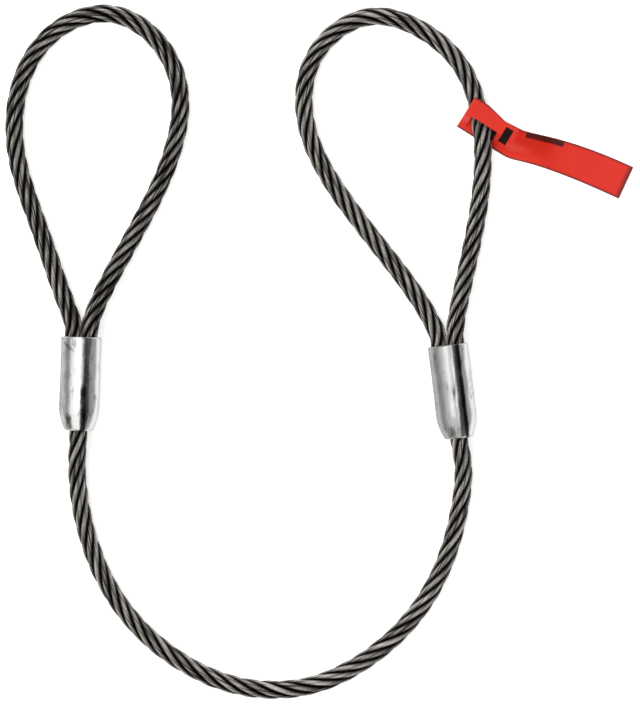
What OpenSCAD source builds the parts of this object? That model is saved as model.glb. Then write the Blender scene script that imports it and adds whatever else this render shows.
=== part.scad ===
// Wire rope sling with a pressed sleeve and a soft eye at each end, and a plastic tag on one eye.
// It lies flat on the surface z = 0, bent into a U, with both eyes towards +Y.

/* [Rope] */
// Diameter of the rope over its strands
rope_d = 11.1; // [10.8:0.1:11.2]
// Length of rope in which a strand goes round the core once
lay_length = 72; // [64:1:80]
// Clear gap between the rope and whatever it passes through
rope_gap = 0.35; // [0.3:0.05:0.4]

/* [Sleeves] */
// Diameter of a pressed sleeve
sleeve_d = 24.8; // [24.6:0.1:26]
// Length of a pressed sleeve
sleeve_l = 56.5; // [52:0.5:60]
// Diameter of a sleeve's narrow end
sleeve_tip_d = 16.8; // [14:0.1:18]
// Length of the taper towards the narrow end
sleeve_taper_l = 14; // [8:1:18]
// Depth to which the two legs of an eye go into a sleeve
leg_depth = 24; // [20:1:30]

/* [Tag] */
// Thickness of the tag's plastic
tag_t = 1.1; // [0.9:0.1:1.3]
// Length of the tag's head, which the rope is threaded through
head_l = 32.7; // [32:0.1:34]
// Width of the tag's head
head_w = 20.4; // [20:0.1:21]
// Width of the tag's blade at its neck
neck_w = 18; // [17:0.1:19]
// Width of the tag's blade at its free end
blade_w = 21; // [18:0.5:24]

/* [Hidden] */

// Colours
strand_colour = [0.27, 0.26, 0.25];
core_colour = [0.16, 0.15, 0.15];
sleeve_colour = [0.74, 0.75, 0.74];
tag_colour = [0.88, 0.22, 0.16];

// Rope build: the strands' size, the circle that their centres lie on, and the facets
strand_count = 6;
strand_d = 0.31 * rope_d;
strand_ring_r = (rope_d - strand_d) / 2;
core_d = 0.315 * rope_d;
rope_r = rope_d / 2;
strand_sides = 6;
rings_per_lay = 8;
trace_steps = 12;

// Sleeve build
sleeve_r = sleeve_d / 2;
leg_side = 4.6;
leg_rise = 3.4;
sleeve_taper_steps = 8;
mouth_chamfer = 0.5;
end_gap = 0.5;

// Where the middle of each sleeve's mouth is, and which way the sleeve points, in degrees from +Y
left_mouth = [-143.5, 8.8];
left_heading = -1.8;
right_mouth = [77.3, 3.9];
right_heading = 6.9;

// Middle of the sling's outline, which is moved to the origin
outline_middle = [0.1, -0.1, 0];

// Lift of the rope's middle above where it lies on the surface, inside a sleeve and over the tag
body_lift = sleeve_r - rope_r;
tag_lift = tag_t + rope_gap;

// Routes outside the sleeves, as [x, y, lift] of the points that steer a smooth curve
left_eye_route = [
    [-156, 36, 2.5], [-168, 72, 0], [-182, 108, 0], [-186, 138, 0], [-180, 171, 0], [-160, 197, 0],
    [-129, 208, 0], [-103, 196, 0], [-86, 172, 0], [-82, 144, 0], [-92, 108, 0], [-111, 72, 1],
    [-130, 38, 6]
];
right_eye_route = [
    [58, 36, 2.5], [29, 72, 0], [2, 108, 0], [-11, 140, 0], [-9, 172, 0], [8, 195, 0],
    [34, 206, 0], [62, 196, 0], [86, 176, 1], [97, 148, 1.5], [100, 112, 1.5], [94, 72, 2],
    [86, 38, 6]
];
body_route = [
    [-147, -72, 2], [-144, -100, 0], [-134, -132, 0], [-115, -163, 0], [-86, -188, 0],
    [-50, -204.5, 0], [-9, -205.5, 0], [25, -190, 0], [54, -166, 0], [74, -135, 0], [84, -102, 0],
    [88, -72, 2]
];

// Steps along a route inside a sleeve, and how far it goes on straight outside
sleeve_step = 8;
mouth_straight = 8;
// Half of the length over which a curve's heading is taken
heading_reach = 1.5;

// Tag: the point on the rope that its head is threaded on, and its heading in degrees from +X
tag_anchor = [97.3, 137];
head_angle = -32;
leg_angle = 97.5;
// Clear gap round the rope where the tag's head is cut away for it
thread_gap = 0.25;
// Head outline and slots, measured from the anchor along and across the head, which is a folded strip:
// its lower layer lies under the rope, and its upper layer rises over the rope beside the slot
head_start = -11.7;
head_low = -8.3;
slot_start = -7.1;
slot_l = 18;
slot_low = -5.5;
slot_w = 6.5;
rise_low = -6;
rise_high = 2;
tie_slot_middle = [16.5, 1.9];
tie_slot_size = [5, 9.8];
// Waist of the head's upper edge: where it starts, where it is deepest, and how deep there and at the neck
waist_start = -2;
waist_middle = 11.6;
waist_depth = 2.95;
waist_end_depth = 2.1;
// Blade: gap to the head, run along each end's heading, and its free end
flex_gap = 0.3;
blade_lead = 9;
blade_tail = 54;
blade_end = [185.3, 101.9];
blade_end_angle = -25;
blade_end_z = 2.4;
// Blade: how far along it the neck is narrowest, its fold has opened and it has come down, and its wave
neck_at = 0.25;
open_at = 0.6;
down_at = 0.7;
wave_h = 1.2;
blade_rings = 16;
blade_columns = 12;

function unit(v) = v / norm(v);
function mix(a, b, f) = a + (b - a) * f;
function clamp01(f) = max(0, min(1, f));
function smooth(f) = let (c = clamp01(f)) c * c * (3 - 2 * c);
function heading_dir(a) = [cos(a), sin(a)];
function heading_left(a) = [-sin(a), cos(a)];

// Smooth curve steered by a list of points, from its second point to its last but one
function spline_weights(t) = [
    pow(1 - t, 3),
    3 * pow(t, 3) - 6 * t * t + 4,
    -3 * pow(t, 3) + 3 * t * t + 3 * t + 1,
    pow(t, 3)
] / 6;
function spline_point(p, i, t) = spline_weights(t) * [p[i], p[i + 1], p[i + 2], p[i + 3]];
function traced(p) = [
    for (i = [0 : len(p) - 4], k = [0 : trace_steps - 1]) spline_point(p, i, k / trace_steps),
    spline_point(p, len(p) - 4, 1)
];

// Table of [length so far, x, y, z] along a curve, and the point at a given length
function length_table(path) = [
    for (i = 0, s = 0; i < len(path); i = i + 1, s = s + norm(path[min(i, len(path) - 1)] - path[i - 1]))
        [s, path[i].x, path[i].y, path[i].z]
];
function column(table, c) = [for (row = table) [row[0], row[c]]];
function columns(table) = [for (c = [1 : 3]) column(table, c)];
function at_length(cols, s) = [for (c = cols) lookup(s, c)];
function total_length(cols) = cols[0][len(cols[0]) - 1][0];

// A point inside or in front of a sleeve: sideways, along its axis from the mouth, and lift
function by_sleeve(mouth, heading, side, y, lift) = [
    mouth.x + side * cos(heading) - y * sin(heading),
    mouth.y + side * sin(heading) + y * cos(heading),
    lift
];
function leg_points(mouth, heading, side) = [
    for (y = [-leg_depth - sleeve_step : sleeve_step : mouth_straight])
        by_sleeve(mouth, heading, side * leg_side, y, body_lift + side * leg_rise)
];
function body_points(mouth, heading) = [
    for (y = [-leg_depth + sleeve_step : -sleeve_step : -sleeve_l - mouth_straight])
        by_sleeve(mouth, heading, 0, y, body_lift)
];
function reversed(p) = [for (i = [len(p) - 1 : -1 : 0]) p[i]];
function lifted(p) = [for (q = p) [q.x, q.y, q.z + rope_r] - outline_middle];

function eye_columns(mouth, heading, route) = columns(length_table(traced(lifted(concat(
    leg_points(mouth, heading, -1), route, reversed(leg_points(mouth, heading, 1))
)))));
left_eye_columns = eye_columns(left_mouth, left_heading, left_eye_route);
right_eye_columns = eye_columns(right_mouth, right_heading, right_eye_route);
body_columns = columns(length_table(traced(lifted(concat(
    body_points(left_mouth, left_heading), body_route, reversed(body_points(right_mouth, right_heading))
)))));

// Cross-section of a round member that winds round the rope's middle at length s
function frame_at(cols, s) = let (
    ahead = unit(at_length(cols, s + heading_reach) - at_length(cols, s - heading_reach)),
    left = unit(cross([0, 0, 1], ahead))
) [at_length(cols, s), left, cross(ahead, left)];
function member_ring(cols, s, ring_r, r, start_angle) = let (
    f = frame_at(cols, s),
    turn = start_angle + 360 * s / lay_length
) [
    for (j = [0 : strand_sides - 1]) let (a = 360 * j / strand_sides)
        f[0] + f[1] * (ring_r * cos(turn) + r * cos(a)) + f[2] * (ring_r * sin(turn) + r * sin(a))
];

// Side and end faces of a tube whose rings have the same number of points
function tube_faces(rings, sides) = [
    [for (j = [0 : sides - 1]) j],
    [for (j = [sides - 1 : -1 : 0]) (rings - 1) * sides + j],
    for (i = [0 : rings - 2], j = [0 : sides - 1]) let (
        a = i * sides + j,
        b = i * sides + (j + 1) % sides
    ) each [[a, a + sides, b + sides], [a, b + sides, b]]
];

module wound_member(cols, from, to, ring_r, r, start_angle) {
    steps = round((to - from) * rings_per_lay / lay_length);
    rings = [for (i = [0 : steps]) member_ring(cols, mix(from, to, i / steps), ring_r, r, start_angle)];
    polyhedron(
        points = [for (ring = rings) each ring],
        faces = tube_faces(steps + 1, strand_sides)
    );
}

module strand(cols, from, to, number) {
    color(strand_colour)
        wound_member(cols, from, to, strand_ring_r, strand_d / 2, 360 * number / strand_count);
}

module core(cols, from, to) {
    color(core_colour) wound_member(cols, from, to, 0, core_d / 2, 0);
}

// Rope stretches: each eye from leg end to leg end, and the body in two halves
eye_start = end_gap / 2;
body_start = end_gap / 2;
body_half = total_length(body_columns) / 2;

module left_eye_strand(number) {
    strand(left_eye_columns, eye_start, total_length(left_eye_columns) - eye_start, number);
}

module left_eye_core() {
    core(left_eye_columns, eye_start, total_length(left_eye_columns) - eye_start);
}

module right_eye_strand(number) {
    strand(right_eye_columns, eye_start, total_length(right_eye_columns) - eye_start, number);
}

module right_eye_core() {
    core(right_eye_columns, eye_start, total_length(right_eye_columns) - eye_start);
}

module left_body_strand(number) {
    strand(body_columns, body_start, body_half - flex_gap / 2, number);
}

module left_body_core() {
    core(body_columns, body_start, body_half - flex_gap / 2);
}

module right_body_strand(number) {
    strand(body_columns, body_half + flex_gap / 2, total_length(body_columns) - body_start, number);
}

module right_body_core() {
    core(body_columns, body_half + flex_gap / 2, total_length(body_columns) - body_start);
}

// Cylinder along -Y from the given height in front of the mouth
module lying_cylinder(y, length, r) {
    translate([0, y, 0]) rotate([90, 0, 0]) cylinder(r = r, h = length, $fn = 96);
}

// Pressed sleeve: a tapered barrel with two bores for the legs and one for the body
module sleeve(mouth, heading) {
    tip_r = sleeve_tip_d / 2;
    bore_r = rope_r + rope_gap;
    taper = [
        for (i = [0 : sleeve_taper_steps]) let (f = i / sleeve_taper_steps)
            [mix(tip_r, sleeve_r, sin(90 * f)), f * sleeve_taper_l]
    ];
    color(sleeve_colour)
    translate([mouth.x, mouth.y, sleeve_r] - outline_middle) rotate([0, 0, heading])
    difference() {
        translate([0, -sleeve_l, 0]) rotate([-90, 0, 0]) rotate_extrude($fn = 96)
            polygon(concat([[0, 0]], taper, [
                [sleeve_r, sleeve_l - mouth_chamfer],
                [sleeve_r - mouth_chamfer, sleeve_l],
                [0, sleeve_l]
            ]));
        for (side = [-1, 1]) translate([side * leg_side, 0, side * leg_rise])
            lying_cylinder(1, leg_depth + 1, bore_r);
        lying_cylinder(-leg_depth + 1, sleeve_l, bore_r);
    }
}

module left_sleeve() {
    sleeve(left_mouth, left_heading);
}

module right_sleeve() {
    sleeve(right_mouth, right_heading);
}

// Height of the tag's middle surface across its head: under the rope on one side, over it on the other
under_z = tag_t / 2;
over_z = tag_lift + 2 * rope_r + rope_gap + tag_t / 2;
function head_z(v) = mix(under_z, over_z, smooth((v - rise_low) / (rise_high - rise_low)));
slope_reach = 0.05;
function head_slope(v) = (head_z(v + slope_reach) - head_z(v - slope_reach)) / (2 * slope_reach);
function head_edge(v, side) = [v, head_z(v)] + side * tag_t / 2 * unit([-head_slope(v), 1]);
head_steps = 24;
head_stations = [for (i = [0 : head_steps]) head_low + head_w * i / head_steps];
head_high = head_low + head_w;
upper_layer_underside = [for (v = head_stations) let (p = head_edge(v, -1)) if (p.y > tag_t) p];
fold_depth = 0.4;
// Depth that the slots are punched into the lower layer
slot_bite = 0.1;

head_end = head_start + head_l;
head_end_w = head_w - waist_end_depth;

module tag_loop() {
    color(tag_colour)
    translate([tag_anchor.x, tag_anchor.y, 0] - outline_middle) rotate([0, 0, head_angle])
    difference() {
        translate([head_start, 0, 0]) rotate([90, 0, 90]) linear_extrude(head_l)
            polygon(concat(
                [[head_low, 0], [head_high, 0], [head_high, tag_t]],
                [[upper_layer_underside[0].x - fold_depth, tag_t]],
                upper_layer_underside,
                reversed([for (v = head_stations) head_edge(v, 1)])
            ));
        translate([slot_start, slot_low, tag_t - slot_bite]) cube([slot_l, slot_w, 2 * over_z]);
        translate(concat(tie_slot_middle - tie_slot_size / 2, tag_t - slot_bite))
            cube(concat(tie_slot_size, 2 * over_z));
        translate([0, 0, -1]) linear_extrude(2 * over_z) polygon([
            [waist_start, head_high],
            [waist_middle, head_high - waist_depth],
            [head_end, head_high - waist_end_depth],
            [head_end + 1, head_high - waist_end_depth],
            [head_end + 1, head_high + 1],
            [waist_start, head_high + 1]
        ]);
        translate([0, 0, tag_lift + rope_r]) rotate([0, 0, leg_angle - head_angle]) rotate([90, 0, 90])
            cylinder(r = rope_r + thread_gap, h = 3 * head_w, center = true, $fn = 96);
    }
}

// Blade: its middle line bends from the head's heading to its own, and its section flattens out
blade_start_middle = head_low + head_end_w / 2;
blade_start = tag_anchor + heading_dir(head_angle) * (head_end + flex_gap)
    + heading_left(head_angle) * blade_start_middle;
blade_steer = [
    blade_start,
    blade_start + blade_lead * heading_dir(head_angle),
    blade_end - blade_tail * heading_dir(blade_end_angle),
    blade_end
];
function bezier(p, t) = [pow(1 - t, 3), 3 * t * pow(1 - t, 2), 3 * t * t * (1 - t), pow(t, 3)] * p;
function blade_across(t) = let (d = unit(bezier(blade_steer, t + 0.01) - bezier(blade_steer, t - 0.01)))
    [-d.y, d.x];
function blade_width(t) = t < neck_at
    ? mix(head_end_w, neck_w, smooth(t / neck_at))
    : mix(neck_w, blade_w, smooth((t - neck_at) / (1 - neck_at)));
function blade_z(t, across) = let (
    lying = mix(over_z / 2, blade_end_z, smooth(t / down_at)) + wave_h * sin(360 * t) * t
) mix(head_z(blade_start_middle + across * head_end_w / 2), lying, smooth(t / open_at));
function blade_point(t, across) = let (
    p = bezier(blade_steer, t) + blade_across(t) * across * blade_width(t) / 2
) [p.x, p.y, blade_z(t, across)];
function blade_normal(t, across) = unit(cross(
    blade_point(t + 0.01, across) - blade_point(t - 0.01, across),
    blade_point(t, across + 0.02) - blade_point(t, across - 0.02)
));
function blade_face(t, side) = [
    for (j = [0 : blade_columns]) let (across = side * mix(1, -1, j / blade_columns))
        blade_point(t, across) + blade_normal(t, across) * side * tag_t / 2 - outline_middle
];

module tag_blade() {
    rings = [
        for (i = [0 : blade_rings]) let (t = i / blade_rings) concat(blade_face(t, -1), blade_face(t, 1))
    ];
    color(tag_colour)
        polyhedron(
            points = [for (ring = rings) each ring],
            faces = tube_faces(blade_rings + 1, 2 * (blade_columns + 1))
        );
}

left_eye_strand(1);  // left_eye_strand_1
left_eye_strand(2);  // left_eye_strand_2
left_eye_strand(3);  // left_eye_strand_3
left_eye_strand(4);  // left_eye_strand_4
left_eye_strand(5);  // left_eye_strand_5
left_eye_strand(6);  // left_eye_strand_6
left_eye_core();
right_eye_strand(1);  // right_eye_strand_1
right_eye_strand(2);  // right_eye_strand_2
right_eye_strand(3);  // right_eye_strand_3
right_eye_strand(4);  // right_eye_strand_4
right_eye_strand(5);  // right_eye_strand_5
right_eye_strand(6);  // right_eye_strand_6
right_eye_core();
left_body_strand(1);  // left_body_strand_1
left_body_strand(2);  // left_body_strand_2
left_body_strand(3);  // left_body_strand_3
left_body_strand(4);  // left_body_strand_4
left_body_strand(5);  // left_body_strand_5
left_body_strand(6);  // left_body_strand_6
left_body_core();
right_body_strand(1);  // right_body_strand_1
right_body_strand(2);  // right_body_strand_2
right_body_strand(3);  // right_body_strand_3
right_body_strand(4);  // right_body_strand_4
right_body_strand(5);  // right_body_strand_5
right_body_strand(6);  // right_body_strand_6
right_body_core();
left_sleeve();
right_sleeve();
tag_loop();
tag_blade();
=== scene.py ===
import math

import bpy
import numpy as np
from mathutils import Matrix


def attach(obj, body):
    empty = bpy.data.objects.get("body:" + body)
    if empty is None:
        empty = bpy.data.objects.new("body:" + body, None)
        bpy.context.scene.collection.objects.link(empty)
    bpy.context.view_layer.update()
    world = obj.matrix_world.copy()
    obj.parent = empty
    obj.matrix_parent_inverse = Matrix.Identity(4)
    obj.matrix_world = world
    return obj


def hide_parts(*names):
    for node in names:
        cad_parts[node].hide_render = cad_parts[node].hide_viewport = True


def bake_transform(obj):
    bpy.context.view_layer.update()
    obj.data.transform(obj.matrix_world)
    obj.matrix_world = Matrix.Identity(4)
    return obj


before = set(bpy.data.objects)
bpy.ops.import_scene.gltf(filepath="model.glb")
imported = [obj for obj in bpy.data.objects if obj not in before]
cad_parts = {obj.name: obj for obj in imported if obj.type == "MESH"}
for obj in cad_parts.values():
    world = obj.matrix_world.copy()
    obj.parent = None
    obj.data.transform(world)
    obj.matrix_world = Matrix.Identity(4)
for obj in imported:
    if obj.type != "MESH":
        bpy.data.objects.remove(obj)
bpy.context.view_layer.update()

MM = 0.001

# ---------------------------------------------------------------- driving sizes, in metres
OUTLINE_MIDDLE = np.array([0.1, -0.1, 0.0]) * MM
ROPE_D = 11.1 * MM
ROPE_R = ROPE_D / 2
LAY_LENGTH = 72 * MM
STRAND_COUNT = 6
STRAND_D = 0.31 * ROPE_D
STRAND_RING_R = (ROPE_D - STRAND_D) / 2
CORE_R = 0.185 * ROPE_D
CORE_SIDES = 8
CORE_TONE = 0.2
WIRE_COUNT = 12
WIRE_LAY = 26 * MM
WIRE_STEP = 2.5 * MM
WIRE_SIDES = 5
WIRE_SWELL = 1.04  # each wire is drawn a little thick, so that it closes up to its neighbours
STRAND_CORE_INSET = 1.6  # wire radii between a strand's outside and its plain core
TONE_MIDDLE = 0.5
TONE_BY_STRAND = 0.12
TONE_BY_WIRE = 0.3

SLEEVE_L = 56.5 * MM
SLEEVE_R = 12.4 * MM
SLEEVE_TIP_R = 8.4 * MM
SLEEVE_TAPER_L = 14 * MM
LEG_DEPTH = 24 * MM
LEG_SIDE = 4.6 * MM
LEG_RISE = 3.4 * MM
BORE_R = ROPE_R + 0.35 * MM
MOUTH_STRAIGHT = 8 * MM
SLEEVE_STEP = 8 * MM
SLEEVE_RIM = 1.1 * MM
SLEEVE_SIDES = 128
SLEEVE_STATIONS = 74
RIM_STATIONS = 8
BORE_SIDES = 64
BORE_PAST = 2 * MM  # how far a bore's cutter reaches past the sleeve's end
BORE_OVERLAP = 1 * MM  # how far the body's bore runs into those of the legs
FLAT_DEPTH = 0.10 * MM
FLAT_COUNT = 6
FLAT_TURN = 0.7
DENT_COUNT = 26
SLEEVES = {
    "left": {"mouth": np.array([-143.5, 8.8]) * MM, "heading": math.radians(-1.8)},
    "right": {"mouth": np.array([77.3, 3.9]) * MM, "heading": math.radians(6.9)},
}

# Routes outside the sleeves: x, y and lift in metres of the points that steer each smooth curve
LEFT_EYE_ROUTE = [
    (-0.156, 0.036, 0.0025), (-0.168, 0.072, 0), (-0.182, 0.108, 0), (-0.186, 0.138, 0),
    (-0.180, 0.171, 0), (-0.160, 0.197, 0), (-0.129, 0.208, 0), (-0.103, 0.196, 0),
    (-0.086, 0.172, 0), (-0.082, 0.144, 0), (-0.092, 0.108, 0), (-0.111, 0.072, 0.001),
    (-0.130, 0.038, 0.006),
]
RIGHT_EYE_ROUTE = [
    (0.058, 0.036, 0.0025), (0.029, 0.072, 0), (0.002, 0.108, 0), (-0.011, 0.140, 0),
    (-0.009, 0.172, 0), (0.008, 0.195, 0), (0.034, 0.206, 0), (0.062, 0.196, 0),
    (0.086, 0.176, 0.001), (0.097, 0.148, 0.0015), (0.100, 0.112, 0.0015), (0.094, 0.072, 0.002),
    (0.086, 0.038, 0.006),
]
BODY_ROUTE = [
    (-0.147, -0.072, 0.002), (-0.144, -0.100, 0), (-0.134, -0.132, 0), (-0.115, -0.163, 0),
    (-0.086, -0.188, 0), (-0.050, -0.2045, 0), (-0.009, -0.2055, 0), (0.025, -0.190, 0),
    (0.054, -0.166, 0), (0.074, -0.135, 0), (0.084, -0.102, 0), (0.088, -0.072, 0.002),
]


# ---------------------------------------------------------------- small helpers
def unit(v):
    return v / np.linalg.norm(v, axis=-1, keepdims=True)


def smooth(f):
    c = np.clip(f, 0, 1)
    return c * c * (3 - 2 * c)


def mix(a, b, f):
    return a + (b - a) * f


def new_object(name, vertices, faces):
    mesh = bpy.data.meshes.new(name)
    mesh.from_pydata([tuple(v) for v in vertices], [], faces)
    mesh.validate()
    mesh.update()
    mesh.polygons.foreach_set("use_smooth", [True] * len(mesh.polygons))
    obj = bpy.data.objects.new(name, mesh)
    bpy.context.scene.collection.objects.link(obj)
    return obj


def add_attribute(obj, name, values):
    layer = obj.data.attributes.new(name, "FLOAT", "POINT")
    layer.data.foreach_set("value", np.asarray(values, np.float32).ravel())


def apply_modifiers(obj):
    depsgraph = bpy.context.evaluated_depsgraph_get()
    mesh = bpy.data.meshes.new_from_object(obj.evaluated_get(depsgraph))
    obj.modifiers.clear()
    obj.data = mesh
    mesh.polygons.foreach_set("use_smooth", [True] * len(mesh.polygons))


# ---------------------------------------------------------------- camera
CAMERA_PLACE = (0.0002, -0.0002)
CAMERA_HEIGHT = 3.0
VIEW_HEIGHT = 0.4252
SENSOR_W = 36


def make_camera():
    data = bpy.data.cameras.new("camera")
    data.sensor_width = SENSOR_W
    data.lens = SENSOR_W * (CAMERA_HEIGHT - ROPE_R) / VIEW_HEIGHT
    camera = bpy.data.objects.new("camera", data)
    camera.location = (*CAMERA_PLACE, CAMERA_HEIGHT)
    bpy.context.scene.collection.objects.link(camera)
    bpy.context.scene.camera = camera


make_camera()


# ---------------------------------------------------------------- rope routes
def by_sleeve(sleeve, side, y, lift):
    """A point inside or in front of a sleeve: sideways, along its axis from the mouth, and lift."""
    c, s = math.cos(sleeve["heading"]), math.sin(sleeve["heading"])
    return (
        sleeve["mouth"][0] + side * c - y * s,
        sleeve["mouth"][1] + side * s + y * c,
        lift,
    )


def leg_points(sleeve, side):
    lift = SLEEVE_R - ROPE_R + side * LEG_RISE
    steps = np.arange(-LEG_DEPTH - SLEEVE_STEP, MOUTH_STRAIGHT + MM, SLEEVE_STEP)
    return [by_sleeve(sleeve, side * LEG_SIDE, y, lift) for y in steps]


def body_points(sleeve):
    steps = np.arange(-LEG_DEPTH + SLEEVE_STEP, -SLEEVE_L - MOUTH_STRAIGHT, -SLEEVE_STEP)
    return [by_sleeve(sleeve, 0, y, SLEEVE_R - ROPE_R) for y in steps]


def eye_steer(sleeve, route):
    return leg_points(sleeve, -1) + route + leg_points(sleeve, 1)[::-1]


def traced(steer, steps=40):
    """The uniform cubic B-spline that the points steer, as closely spaced points."""
    p = np.array(steer, float) + [0, 0, ROPE_R] - OUTLINE_MIDDLE
    t = np.arange(steps)[:, None] / steps
    weights = [(1 - t) ** 3, 3 * t**3 - 6 * t * t + 4, -3 * t**3 + 3 * t * t + 3 * t + 1, t**3]
    spans = [sum(w * p[i + j] for j, w in enumerate(weights)) / 6 for i in range(len(p) - 3)]
    return np.vstack(spans + [(p[-3] + 4 * p[-2] + p[-1]) / 6])


def resampled(path, step):
    """Evenly spaced points on the path, and the length along it at each."""
    lengths = np.concatenate([[0], np.cumsum(np.linalg.norm(np.diff(path, axis=0), axis=1))])
    s = np.linspace(0, lengths[-1], int(round(lengths[-1] / step)) + 1)
    return np.stack([np.interp(s, lengths, path[:, k]) for k in range(3)], axis=1), s


def path_frames(points):
    ahead = unit(np.gradient(points, axis=0))
    left = unit(np.cross([0, 0, 1], ahead))
    return ahead, left, np.cross(ahead, left)


# ---------------------------------------------------------------- rope meshes
class TubeSet:
    """Gathers the round members of a rope into one mesh."""

    def __init__(self):
        self.vertices, self.faces, self.depth, self.tone = [], [], [], []
        self.count = 0

    def add(self, middle, right, up, radius, sides, rope_middle, tone):
        angles = 2 * np.pi * np.arange(sides) / sides
        ring = (
            middle[:, None]
            + radius * np.cos(angles)[None, :, None] * right[:, None]
            + radius * np.sin(angles)[None, :, None] * up[:, None]
        )
        rings = len(middle)
        i = np.arange(rings - 1)[:, None] * sides
        j = np.arange(sides)[None, :]
        a, b = i + j, i + (j + 1) % sides
        quads = np.stack([a, b, b + sides, a + sides], axis=-1).reshape(-1, 4) + self.count
        start_cap = [self.count + k for k in range(sides)][::-1]
        end_cap = [self.count + (rings - 1) * sides + k for k in range(sides)]
        self.faces += quads.tolist() + [start_cap, end_cap]
        self.vertices.append(ring.reshape(-1, 3))
        self.depth.append(np.linalg.norm(ring - rope_middle[:, None], axis=-1).ravel() / ROPE_R)
        self.tone.append(np.full(rings * sides, tone))
        self.count += rings * sides

    def make(self, name):
        obj = new_object(name, np.vstack(self.vertices), self.faces)
        add_attribute(obj, "rope_depth", np.concatenate(self.depth))
        add_attribute(obj, "wire_tone", np.concatenate(self.tone))
        return obj


def make_rope(name, steer, seed):
    """Six right-handed strands of left-handed wires, wound round a core along a smooth route."""
    rng = np.random.default_rng(seed)
    points, s = resampled(traced(steer), WIRE_STEP)
    _, left, up = path_frames(points)
    tubes = TubeSet()
    tubes.add(points, left, up, CORE_R, CORE_SIDES, points, CORE_TONE)
    wire_share = math.sin(math.pi / WIRE_COUNT)
    wire_r = STRAND_D / 2 * wire_share / (1 + wire_share)
    wire_ring_r = STRAND_D / 2 - wire_r
    strand_core_r = STRAND_D / 2 - STRAND_CORE_INSET * wire_r
    for strand in range(1, STRAND_COUNT + 1):
        turn = 2 * np.pi * (s / LAY_LENGTH + strand / STRAND_COUNT)[:, None]
        outward = np.cos(turn) * left + np.sin(turn) * up
        middle = points + STRAND_RING_R * outward
        along = unit(np.gradient(middle, axis=0))
        outward = unit(outward - along * np.sum(outward * along, axis=1, keepdims=True))
        sideways = np.cross(along, outward)
        tubes.add(middle, outward, sideways, strand_core_r, CORE_SIDES, points, CORE_TONE)
        strand_tone = rng.uniform(-TONE_BY_STRAND, TONE_BY_STRAND)
        for wire in range(WIRE_COUNT):
            twist = (-2 * np.pi * s / WIRE_LAY + 2 * np.pi * wire / WIRE_COUNT)[:, None]
            wire_off = wire_ring_r * (np.cos(twist) * outward + np.sin(twist) * sideways)
            tone = TONE_MIDDLE + strand_tone + rng.uniform(-TONE_BY_WIRE, TONE_BY_WIRE)
            wire_middle = middle + wire_off
            tubes.add(wire_middle, outward, sideways, wire_r * WIRE_SWELL, WIRE_SIDES, points, tone)
    return tubes.make(name), points


def declare_rope(nodes):
    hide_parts(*nodes)


def stretch_nodes(stretch):
    strands = [f"{stretch}_strand_{k}" for k in range(1, STRAND_COUNT + 1)]
    return strands + [f"{stretch}_core"]


def make_eye(side, route, seed):
    sleeve = SLEEVES[side]
    rope, points = make_rope(f"{side}_eye_rope", eye_steer(sleeve, route), seed)
    declare_rope(stretch_nodes(f"{side}_eye"))
    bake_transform(rope)
    return rope


def make_body_rope(seed):
    steer = body_points(SLEEVES["left"]) + BODY_ROUTE + body_points(SLEEVES["right"])[::-1]
    rope, points = make_rope("body_rope", steer, seed)
    declare_rope(stretch_nodes("left_body") + stretch_nodes("right_body"))
    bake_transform(rope)
    return rope


ROPES = [
    make_eye("left", LEFT_EYE_ROUTE, 11),
    make_eye("right", RIGHT_EYE_ROUTE, 12),
    make_body_rope(13),
]


# ---------------------------------------------------------------- materials
class Nodes:
    """A short way to write a material's node tree."""

    def __init__(self, name):
        self.material = bpy.data.materials.new(name)
        self.material.use_nodes = True
        self.tree = self.material.node_tree
        self.shader = self.tree.nodes["Principled BSDF"]

    def add(self, kind, values=None, **settings):
        node = self.tree.nodes.new(kind)
        for key, value in settings.items():
            setattr(node, key, value)
        for key, value in (values or {}).items():
            self.put(node, key, value)
        return node

    def put(self, node, key, value):
        socket = node.inputs[key]
        if isinstance(value, bpy.types.NodeSocket):
            self.tree.links.new(value, socket)
        else:
            socket.default_value = value

    def set(self, **values):
        for key, value in values.items():
            self.put(self.shader, key.replace("_", " "), value)

    def attribute(self, name):
        return self.add("ShaderNodeAttribute", attribute_name=name).outputs["Fac"]

    def noise(self, scale, detail=3.0, stretch=(1, 1, 1), roughness=0.5):
        place = self.add("ShaderNodeTexCoord").outputs["Object"]
        mapping = self.add("ShaderNodeMapping", {"Vector": place, "Scale": stretch})
        return self.add(
            "ShaderNodeTexNoise",
            {"Vector": mapping.outputs[0], "Scale": scale, "Detail": detail, "Roughness": roughness},
        ).outputs["Fac"]

    def ramp(self, value, low, high, out_low=0.0, out_high=1.0):
        return self.add(
            "ShaderNodeMapRange",
            {"Value": value, "From Min": low, "From Max": high, "To Min": out_low, "To Max": out_high},
        ).outputs["Result"]

    def math(self, operation, a, b):
        return self.add("ShaderNodeMath", {0: a, 1: b}, operation=operation).outputs[0]

    def blend(self, factor, a, b, kind="MIX"):
        node = self.add("ShaderNodeMix", data_type="RGBA", blend_type=kind)
        self.put(node, 0, factor)
        self.put(node, 6, a)
        self.put(node, 7, b)
        return node.outputs[2]

    def bump(self, height, distance, strength=1.0):
        return self.add(
            "ShaderNodeBump", {"Height": height, "Distance": distance, "Strength": strength}
        ).outputs["Normal"]


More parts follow.
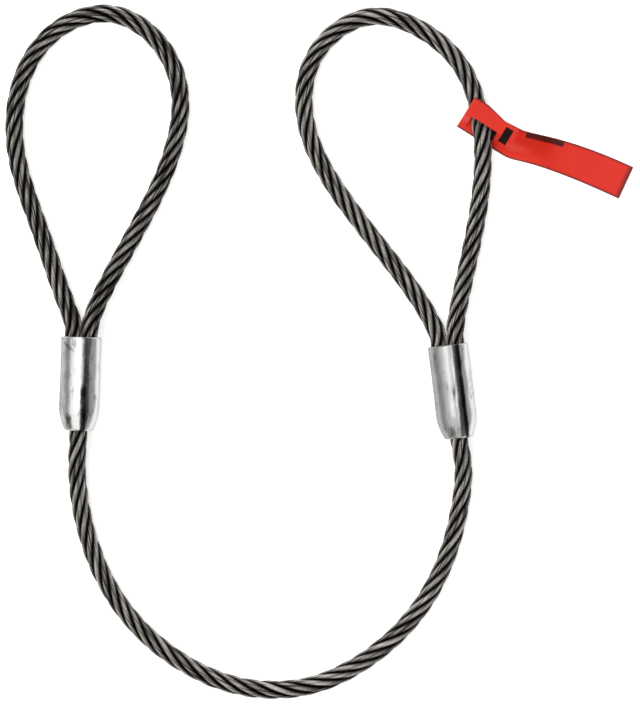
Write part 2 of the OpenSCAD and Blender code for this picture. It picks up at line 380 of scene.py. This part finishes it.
def rope_material():
    """Dark oiled steel wire: grease and painted shade in the grooves, worn grey crowns, each wire its
    own tone.
    """
    n = Nodes("oiled_wire")
    # Painted shade with the grease: below the crowns, in the grooves between wires and strands, the
    # base colour falls to near black.
    crown = n.ramp(n.attribute("rope_depth"), 0.80, 1.0)
    patches = n.noise(90, 4)
    tone = n.math("ADD", n.attribute("wire_tone"), n.math("MULTIPLY", patches, 0.5))
    bare = n.blend(n.ramp(tone, 0.4, 1.1), (0.07, 0.064, 0.058, 1), (0.62, 0.59, 0.55, 1))
    n.set(Base_Color=n.blend(n.math("POWER", crown, 1.5), (0.006, 0.005, 0.004, 1), bare))
    n.set(Metallic=0.9, Specular_Tint=(0.35, 0.34, 0.33, 1))
    n.set(Roughness=n.ramp(n.noise(400, 3), 0.3, 0.7, 0.24, 0.44))
    n.set(Normal=n.bump(n.noise(1500, 2), 0.00005, 0.5))
    return n.material


def sleeve_material():
    """Bright pressed steel: lengthwise drawing lines, rougher areas painted darker grey to tone down
    their reflection, grease patches, a painted dark reflection streak, and scuffs.
    """
    n = Nodes("pressed_steel")
    lines = n.noise(900, 3, stretch=(1, 0.03, 1))
    patches = n.noise(75, 4, stretch=(1, 0.45, 1), roughness=0.6)
    scuffs = n.ramp(n.noise(170, 5, stretch=(1, 0.45, 1), roughness=0.65), 0.58, 0.70)
    ragged = n.ramp(n.noise(260, 5, stretch=(1, 0.4, 1), roughness=0.7), 0.3, 0.7, -0.4, 0.4)
    # Rougher areas, also painted darker grey to tone down the reflection on that side of the sleeve.
    rough_and_painted_grey = n.ramp(n.math("ADD", n.attribute("sleeve_rough_and_painted_grey"), ragged), 0.2, 0.8)
    # Grease patches, and a painted dark reflection streak along the barrel.
    grease_and_dark_reflection = n.ramp(n.math("ADD", n.attribute("sleeve_grease_and_dark_reflection"), ragged), 0.15, 1.0)
    bright = n.blend(patches, (0.48, 0.48, 0.475, 1), (0.66, 0.66, 0.65, 1))
    # The darker grey painted into the rougher areas, in place of a brighter reflection.
    painted_grey_steel = n.blend(patches, (0.24, 0.24, 0.24, 1), (0.42, 0.42, 0.415, 1))
    steel = n.blend(rough_and_painted_grey, bright, painted_grey_steel)
    scuffed = n.blend(n.math("MULTIPLY", scuffs, 0.8), steel, (0.17, 0.165, 0.16, 1))
    # Near black where the grease lies and along the painted dark reflection streak.
    n.set(Base_Color=n.blend(grease_and_dark_reflection, scuffed, (0.035, 0.033, 0.031, 1)))
    n.set(Metallic=1.0, Specular_Tint=(0.6, 0.6, 0.6, 1))
    polish = n.ramp(patches, 0.3, 0.7, 0.18, 0.30)
    n.set(Roughness=n.math("ADD", polish, n.math("MULTIPLY", rough_and_painted_grey, 0.12)))
    height = n.math("ADD", n.math("MULTIPLY", lines, 0.5), n.math("MULTIPLY", patches, 1.5))
    n.set(Normal=n.bump(height, 0.00025, 0.5))
    return n.material


# ---------------------------------------------------------------- sleeves
def cut_with_cylinder(target, start, end, radius):
    """Bores the target from start to end."""
    start, end = np.array(start), np.array(end)
    _, left, up = path_frames(np.array([start, end]))
    n = BORE_SIDES
    angles = 2 * np.pi * np.arange(n) / n
    ring = radius * (np.cos(angles)[:, None] * left[0] + np.sin(angles)[:, None] * up[0])
    sides = [(k, (k + 1) % n, n + (k + 1) % n, n + k) for k in range(n)]
    caps = [list(range(n))[::-1], list(range(n, 2 * n))]
    cutter = new_object("cutter", np.vstack([start + ring, end + ring]), sides + caps)
    boolean = target.modifiers.new("bore", "BOOLEAN")
    boolean.operation = "DIFFERENCE"
    boolean.solver = "EXACT"
    boolean.object = cutter
    apply_modifiers(target)
    bpy.data.objects.remove(cutter)


def sleeve_radius(y, angle, rng):
    """Barrel profile with its pressed taper, rounded rims, die flats and small dents."""
    from_tip = y + SLEEVE_L
    taper = np.sin(np.pi / 2 * np.clip(from_tip / SLEEVE_TAPER_L, 0, 1))
    radius = mix(SLEEVE_TIP_R, SLEEVE_R, taper)
    for edge in (-y, from_tip):
        into_rim = np.clip(1 - edge / SLEEVE_RIM, 0, 1)
        radius = radius - SLEEVE_RIM * (1 - np.sqrt(1 - into_rim**2))
    radius = radius - FLAT_DEPTH * (1 + np.cos(FLAT_COUNT * angle + FLAT_TURN)) * taper
    for _ in range(DENT_COUNT):
        place_y, place_angle = rng.uniform(-SLEEVE_L, 0), rng.uniform(-np.pi, np.pi)
        across = np.angle(np.exp(1j * (angle - place_angle))) * SLEEVE_R
        size, depth = rng.uniform(1.2, 3.2) * MM, rng.uniform(0.04, 0.14) * MM
        off = (across / size) ** 2 + ((y - place_y) / (2 * size)) ** 2
        radius = radius - depth * np.exp(-off)
    return radius


def patch(value, low, high, soft):
    """One between low and high, falling smoothly to zero outside."""
    return smooth((value - low) / soft + 1) * smooth((high - value) / soft + 1)


def add_sleeve_wear_and_painted_reflection(obj, side):
    """Marks the rougher areas, painted darker grey to tone down their reflection, and the near-black
    areas: grease by the tip, a grease smear and a painted dark reflection streak along the barrel.
    Across is -1 to 1 over the top, y is along the axis.
    """
    sleeve = SLEEVES[side]
    corners = np.empty(len(obj.data.vertices) * 3)
    obj.data.vertices.foreach_get("co", corners)
    off = corners.reshape(-1, 3) + OUTLINE_MIDDLE - np.append(sleeve["mouth"], SLEEVE_R)
    c, s = math.cos(sleeve["heading"]), math.sin(sleeve["heading"])
    across = (off[:, 0] * c + off[:, 1] * s) / SLEEVE_R
    y = (off[:, 1] * c - off[:, 0] * s) / MM
    top = smooth(off[:, 2] / SLEEVE_R * 4)
    if side == "left":
        # Painted light: the rougher left edge is painted darker grey to tone down its reflection.
        rough_and_painted_grey = 0.7 * patch(across, -1.2, -0.55, 0.2)
        # Painted reflection: a dark streak along the barrel in place of the reflection of a dark part
        # of the studio. The patch by the tip and the smear are grease.
        dark_reflection_streak = (0.5 + 0.5 * smooth((-26 - y) / 10)) * patch(across, 0.14, 0.30, 0.12)
        by_tip = 0.9 * patch(across, -0.50, -0.42, 0.2) * patch(y, -54, -50, 6)
        slanting = across + y / 14
        smear = 0.7 * patch(slanting, -1.03, -0.95, 0.12) * patch(y, -7, -5, 3)
    else:
        # Painted light: the rougher left half is painted darker grey, so that its reflection reads
        # grey, not white.
        rough_and_painted_grey = patch(across, -1.2, 0.0, 0.12)
        # Painted reflection: a dark streak along the barrel in place of the reflection of a dark part
        # of the studio. The patch by the tip and the smear are grease.
        dark_reflection_streak = 1.1 * patch(across, 0.38, 0.46, 0.10)
        by_tip = 0.7 * patch(across, -0.38, -0.22, 0.16) * patch(y, -54, -51, 5)
        smear = 0.7 * patch(across, -0.02, 0.02, 0.08) * patch(y, -31, -28, 5)
    add_attribute(obj, "sleeve_rough_and_painted_grey", rough_and_painted_grey)
    add_attribute(obj, "sleeve_grease_and_dark_reflection", np.maximum(np.maximum(dark_reflection_streak, by_tip), smear) * top)


def make_sleeve(side, seed):
    sleeve = SLEEVES[side]
    rng = np.random.default_rng(seed)
    n = SLEEVE_SIDES
    edge = SLEEVE_RIM * (1 - np.cos(np.linspace(0, np.pi / 2, RIM_STATIONS)))
    barrel = np.linspace(-SLEEVE_L, 0, SLEEVE_STATIONS)[2:-2]
    stations = np.concatenate([-SLEEVE_L + edge, barrel, -edge[::-1]])
    angles = 2 * np.pi * np.arange(n) / n
    y, angle = np.meshgrid(stations, angles, indexing="ij")
    radius = sleeve_radius(y, np.angle(np.exp(1j * angle)), rng)
    c, s = math.cos(sleeve["heading"]), math.sin(sleeve["heading"])
    across, rise = radius * np.cos(angle), radius * np.sin(angle)
    x = sleeve["mouth"][0] + across * c - y * s - OUTLINE_MIDDLE[0]
    depth = sleeve["mouth"][1] + across * s + y * c - OUTLINE_MIDDLE[1]
    vertices = np.stack([x, depth, rise + SLEEVE_R], axis=-1).reshape(-1, 3)
    ring_start = np.arange(len(stations) - 1)[:, None] * n
    a = ring_start + np.arange(n)[None, :]
    b = ring_start + (np.arange(n)[None, :] + 1) % n
    faces = np.stack([a, a + n, b + n, b], axis=-1).reshape(-1, 4).tolist()
    last = (len(stations) - 1) * n
    faces += [list(range(n)), [last + k for k in range(n)][::-1]]
    obj = new_object(f"{side}_sleeve_shell", vertices, faces)

    def place(side_step, y_step, lift):
        return np.array(by_sleeve(sleeve, side_step, y_step, lift)) - OUTLINE_MIDDLE

    for leg in (-1, 1):
        across, lift = leg * LEG_SIDE, SLEEVE_R + leg * LEG_RISE
        mouth, bottom = place(across, BORE_PAST, lift), place(across, -LEG_DEPTH, lift)
        cut_with_cylinder(obj, mouth, bottom, BORE_R)
    inner = place(0, -LEG_DEPTH + BORE_OVERLAP, SLEEVE_R)
    tip = place(0, -SLEEVE_L - BORE_PAST, SLEEVE_R)
    cut_with_cylinder(obj, inner, tip, BORE_R)
    add_sleeve_wear_and_painted_reflection(obj, side)
    obj.data.set_sharp_from_angle(angle=math.radians(40))
    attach(obj, f"{side}_half")
    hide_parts(f"{side}_sleeve")
    return obj


# ---------------------------------------------------------------- tag
TAG_T = 1.1 * MM
TAG_ANCHOR = np.array([97.3, 137.0]) * MM
HEAD_ANGLE = math.radians(-32)
LEG_ANGLE = math.radians(97.5)
HEAD_L = 32.7 * MM
HEAD_W = 20.4 * MM
HEAD_START = -11.7 * MM
HEAD_LOW = -8.3 * MM
SLOT = {"u": (-7.1 * MM, 10.9 * MM), "v": (-5.5 * MM, 1.0 * MM)}
TIE_SLOT = {"u": (14.0 * MM, 19.0 * MM), "v": (-3.0 * MM, 6.8 * MM)}
HEAD_END = HEAD_START + HEAD_L
HEAD_HIGH = HEAD_LOW + HEAD_W
WAIST = {"start": -2 * MM, "middle": 11.6 * MM, "depth": 2.95 * MM, "end_depth": 2.1 * MM}
HEAD_END_W = HEAD_W - WAIST["end_depth"]
BLADE_START_MIDDLE = HEAD_LOW + HEAD_END_W / 2
RISE_LOW = -6 * MM
RISE_HIGH = 2 * MM
TAG_GAP = 0.35 * MM
TAG_LIFT = TAG_T + TAG_GAP
UNDER_Z = TAG_T / 2
OVER_Z = TAG_LIFT + 2 * ROPE_R + TAG_GAP + TAG_T / 2
NECK_W = 18 * MM
BLADE_W = 21 * MM
BLADE_END = np.array([185.3, 101.9]) * MM
BLADE_END_ANGLE = math.radians(-25)
BLADE_LEAD = 9 * MM
BLADE_TAIL = 54 * MM
BLADE_END_Z = 2.4 * MM
BLADE_RINGS = 80
# How far along the blade the neck is narrowest, its fold has opened and it has come down
NECK_AT = 0.25
OPEN_AT = 0.6
DOWN_AT = 0.7
WAVE_H = 1.2 * MM
FOLD_V = -6.6 * MM
LOWER_Z = UNDER_Z - 0.04 * MM
TAG_STEP = 0.9 * MM
TAG_SKIN_T = TAG_T * 0.92
TAG_EDGE_R = 0.22 * MM
ROPE_CLEARANCE = 0.25 * MM
BAR_ALONG = (18, 47.7)
BAR_ACROSS = (0.60, 0.96)
RIPPLES_ALONG = (40, 72)


def heading_dir(a):
    return np.array([math.cos(a), math.sin(a)])


def heading_left(a):
    return np.array([-math.sin(a), math.cos(a)])


def head_z(v):
    return mix(UNDER_Z, OVER_Z, smooth((v - RISE_LOW) / (RISE_HIGH - RISE_LOW)))


def waisted(u, v):
    """Draws the head's upper edge in to its waist, and what is above the second slot with it."""
    stops = [WAIST["start"], WAIST["middle"], HEAD_END]
    depth = np.interp(u, stops, [0, WAIST["depth"], WAIST["end_depth"]])
    return v - depth * max(0, (v - TIE_SLOT["v"][1]) / (HEAD_HIGH - TIE_SLOT["v"][1]))


def blade_steer():
    start = TAG_ANCHOR + heading_dir(HEAD_ANGLE) * HEAD_END
    start = start + heading_left(HEAD_ANGLE) * BLADE_START_MIDDLE
    return np.array([
        start,
        start + BLADE_LEAD * heading_dir(HEAD_ANGLE),
        BLADE_END - BLADE_TAIL * heading_dir(BLADE_END_ANGLE),
        BLADE_END,
    ])


def blade_length():
    return float(np.linalg.norm(BLADE_END - blade_steer()[0])) / MM


def bezier(p, t):
    """The point at t on the cubic Bezier curve with these four control points."""
    r = 1 - t
    return r**3 * p[0] + 3 * t * r**2 * p[1] + 3 * t * t * r * p[2] + t**3 * p[3]


def blade_point(steer, t, across):
    ahead = unit(bezier(steer, t + 0.01) - bezier(steer, t - 0.01))
    narrowed = mix(HEAD_END_W, NECK_W, smooth(t / NECK_AT))
    width = mix(narrowed, BLADE_W, smooth((t - NECK_AT) / (1 - NECK_AT)))
    x, y = bezier(steer, t) + np.array([-ahead[1], ahead[0]]) * across * width / 2
    wave = WAVE_H * math.sin(2 * math.pi * t) * t
    lying = mix(OVER_Z / 2, BLADE_END_Z, smooth(t / DOWN_AT)) + wave
    head_height = head_z(BLADE_START_MIDDLE + across * HEAD_END_W / 2)
    return x, y, mix(head_height, lying, smooth(t / OPEN_AT))


def clear_of_rope(point):
    """Moves a point of the tag's middle surface out to where it clears the rope through the head."""
    axis = np.append(heading_dir(LEG_ANGLE), 0)
    middle = np.append(TAG_ANCHOR, TAG_LIFT + ROPE_R)
    off = np.array(point) - middle
    radial = off - axis * (off @ axis)
    gap = ROPE_R + ROPE_CLEARANCE + TAG_T / 2
    distance = np.linalg.norm(radial)
    if distance > gap:
        return np.array(point)
    return np.array(point) + radial / distance * (gap - distance)


def spread(stops, step):
    """Evenly divides each stretch between the stops."""
    stretches = []
    for a, b in zip(stops, stops[1:]):
        count = max(1, round((b - a) / step))
        stretches.append(np.linspace(a, b, count + 1)[:-1])
    return np.concatenate(stretches + [[stops[-1]]])


def head_point(u, v):
    return TAG_ANCHOR + u * heading_dir(HEAD_ANGLE) + waisted(u, v) * heading_left(HEAD_ANGLE)


def lower_layer_shade(u, v):
    """How much painted shade the lower layer gets, for the shadow between the two layers: darkest
    where the two slots show it, none at its edges.
    """
    along = smooth((u / MM - 2) / 7) * (1 - smooth((u / MM - 19.2) / 1.4))
    return along * (1 - smooth((v / MM - 7.5) / 2.5))


def keep_on_top(obj, name, level):
    """Clears an attribute below a level, so that it marks a sheet's upper face only."""
    count = len(obj.data.vertices)
    corners, values = np.empty(count * 3, np.float32), np.empty(count, np.float32)
    obj.data.vertices.foreach_get("co", corners)
    layer = obj.data.attributes[name].data
    layer.foreach_get("value", values)
    layer.foreach_set("value", np.where(corners[2::3] > level, values, 0).astype(np.float32))


def make_tag():
    """A strip folded at the head: its lower layer lies under the rope, its upper layer goes over."""
    us = spread([HEAD_START, *SLOT["u"], *TIE_SLOT["u"], HEAD_END], TAG_STEP)
    vs = spread(sorted([HEAD_LOW, *SLOT["v"], *TIE_SLOT["v"], HEAD_HIGH]), TAG_STEP)
    steer = blade_steer()
    ts = np.linspace(0, 1, BLADE_RINGS + 1)[1:]
    grid, along, across_values = [], [], []
    for u in us:
        for v in vs:
            x, y = head_point(u, v)
            grid.append(clear_of_rope((x, y, head_z(v))))
            along.append((u - HEAD_END) / MM)
            across_values.append((v - HEAD_LOW) / HEAD_W * 2 - 1)
    for t in ts:
        for v in vs:
            across = (v - HEAD_LOW) / HEAD_W * 2 - 1
            grid.append(blade_point(steer, t, across))
            along.append(t * blade_length())
            across_values.append(across)
    columns = len(vs)
    holes = [SLOT, TIE_SLOT]
    faces = []
    for i in range(len(us) + len(ts) - 1):
        for j in range(columns - 1):
            v = (vs[j] + vs[j + 1]) / 2
            u = (us[i] + us[i + 1]) / 2 if i + 1 < len(us) else math.inf
            if any(h["u"][0] < u < h["u"][1] and h["v"][0] < v < h["v"][1] for h in holes):
                continue
            a = i * columns + j
            faces.append((a, a + columns, a + columns + 1, a + 1))
    shade = [0.0] * len(grid)
    lower_vs = spread([FOLD_V, TIE_SLOT["v"][1], HEAD_HIGH], TAG_STEP)
    for i, u in enumerate(us):
        for j, v in enumerate(lower_vs):
            a = len(grid)
            x, y = head_point(u, v)
            grid.append((x, y, LOWER_Z))
            along.append((u - HEAD_END) / MM)
            across_values.append(0.0)
            # Painted shade: the lower layer is darkened where the upper layer and the rope would shade
            # it.
            shade.append(lower_layer_shade(u, v))
            if i + 1 < len(us) and j + 1 < len(lower_vs):
                faces.append((a, a + len(lower_vs), a + len(lower_vs) + 1, a + 1))
    obj = new_object("identification_tag", np.array(grid) - OUTLINE_MIDDLE, faces)
    add_attribute(obj, "tag_along", along)
    add_attribute(obj, "tag_across", across_values)
    add_attribute(obj, "tag_shade", shade)
    solid = obj.modifiers.new("thickness", "SOLIDIFY")
    solid.thickness = TAG_SKIN_T
    solid.offset = 0
    bevel = obj.modifiers.new("edges", "BEVEL")
    bevel.width = TAG_EDGE_R
    bevel.segments = 2
    bevel.limit_method = "ANGLE"
    bevel.angle_limit = math.radians(50)
    apply_modifiers(obj)
    keep_on_top(obj, "tag_shade", LOWER_Z)
    obj.data.set_sharp_from_angle(angle=math.radians(50))
    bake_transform(obj)
    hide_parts("tag_loop", "tag_blade")
    return obj


def tag_material(tip):
    """Satin orange-red plastic: soft mottling, painted shade along the edges, a plain printed bar and
    faint ripples.
    """
    n = Nodes("tag_plastic")
    along, across = n.attribute("tag_along"), n.attribute("tag_across")
    mottle = n.noise(45, 3)
    plastic = n.blend(mottle, (0.54, 0.012, 0.007, 1), (0.74, 0.032, 0.012, 1))

    def band(value, low, high, soft):
        rise = n.ramp(value, low - soft, low + soft)
        fall = n.ramp(value, high - soft, high + soft, 1, 0)
        return n.math("MULTIPLY", rise, fall)

    worn = n.ramp(n.noise(110, 2), 0.25, 0.75, 0.82, 1.0)
    bar = n.math("MULTIPLY", band(along, *BAR_ALONG, 0.4), band(across, *BAR_ACROSS, 0.04))
    # Painted shade along the tag's long edges and at the blade's end.
    rim = n.ramp(n.math("ABSOLUTE", across, 0), 0.84, 0.97, 0, 0.9)
    end_rim = n.ramp(along, tip - 1.8, tip - 0.2, 0, 0.9)
    edge_shaded = n.blend(n.math("MAXIMUM", rim, end_rim), plastic, (0.09, 0.012, 0.010, 1))
    printed = n.blend(n.math("MULTIPLY", bar, worn), edge_shaded, (0.010, 0.004, 0.003, 1))
    # Painted shade darkens the lower layer between the two layers.
    n.set(Base_Color=n.blend(n.attribute("tag_shade"), printed, (0.010, 0.002, 0.001, 1)))
    n.set(Roughness=n.ramp(mottle, 0.3, 0.7, 0.40, 0.55), Specular_IOR_Level=0.2)
    ripples = n.math("MULTIPLY", n.noise(120, 2, stretch=(1, 0.4, 1)), band(along, *RIPPLES_ALONG, 2))
    n.set(Normal=n.bump(n.math("ADD", n.noise(900, 2), ripples), 0.0003, 0.35))
    return n.material


def dress(objects, material):
    for obj in objects:
        obj.data.materials.clear()
        obj.data.materials.append(material)


dress(ROPES, rope_material())
dress([make_sleeve("left", 21), make_sleeve("right", 22)], sleeve_material())
dress([make_tag()], tag_material(blade_length()))


# ---------------------------------------------------------------- stage and light
FLOOR_REACH = 4.0
FLOOR_Z = -0.0002
WORLD_STRENGTH = 1.6
# Degrees from overhead towards +X, and the studio's brightness there
PANELS = [(-60, 0.34), (-48, 1.0), (15, 1.0), (24, 0.02), (58, 0.02), (70, 0.34)]


def make_floor():
    corners = [(-1, -1), (1, -1), (1, 1), (-1, 1)]
    vertices = [(x * FLOOR_REACH, y * FLOOR_REACH, FLOOR_Z) for x, y in corners]
    floor = new_object("floor", vertices, [(0, 1, 2, 3)])
    n = Nodes("paper_white")
    n.set(Base_Color=n.blend(n.noise(3, 2), (0.93, 0.93, 0.93, 1), (0.96, 0.96, 0.96, 1)))
    n.set(Roughness=0.9)
    n.set(Emission_Color=(1, 1, 1, 1), Emission_Strength=0.5)
    floor.data.materials.append(n.material)


def make_light(name, location, size, power, turn):
    data = bpy.data.lights.new(name, "AREA")
    data.shape = "RECTANGLE"
    data.size, data.size_y = size
    data.energy = power
    light = bpy.data.objects.new(name, data)
    light.location = location
    light.rotation_euler = turn
    bpy.context.scene.collection.objects.link(light)


def make_world():
    """A studio of long panels along Y: bright from above left, dark to the right, grey low down."""
    world = bpy.data.worlds.new("studio")
    bpy.context.scene.world = world
    world.use_nodes = True
    nodes, links = world.node_tree.nodes, world.node_tree.links
    place = nodes.new("ShaderNodeTexCoord")
    axes = nodes.new("ShaderNodeSeparateXYZ")
    links.new(place.outputs["Generated"], axes.inputs[0])
    bearing = nodes.new("ShaderNodeMath")
    bearing.operation = "ARCTAN2"
    links.new(axes.outputs["X"], bearing.inputs[0])
    links.new(axes.outputs["Z"], bearing.inputs[1])
    share = nodes.new("ShaderNodeMapRange")
    share.inputs["From Min"].default_value = -math.pi
    share.inputs["From Max"].default_value = math.pi
    links.new(bearing.outputs[0], share.inputs["Value"])
    panels = nodes.new("ShaderNodeValToRGB")
    links.new(share.outputs["Result"], panels.inputs[0])
    ramp = panels.color_ramp
    ramp.elements.remove(ramp.elements[1])
    for k, (degrees, level) in enumerate(PANELS):
        stop = ramp.elements[0] if k == 0 else ramp.elements.new(0.5 + degrees / 360)
        stop.position = 0.5 + degrees / 360
        stop.color = (level, level, level * 0.99, 1)
    background = nodes["Background"]
    links.new(panels.outputs["Color"], background.inputs["Color"])
    background.inputs["Strength"].default_value = WORLD_STRENGTH


make_floor()
make_world()
make_light("key", (-0.55, 0.35, 1.5), (0.3, 1.0), 6, (0, math.radians(-20), 0))
bpy.context.scene.view_settings.view_transform = "Standard"
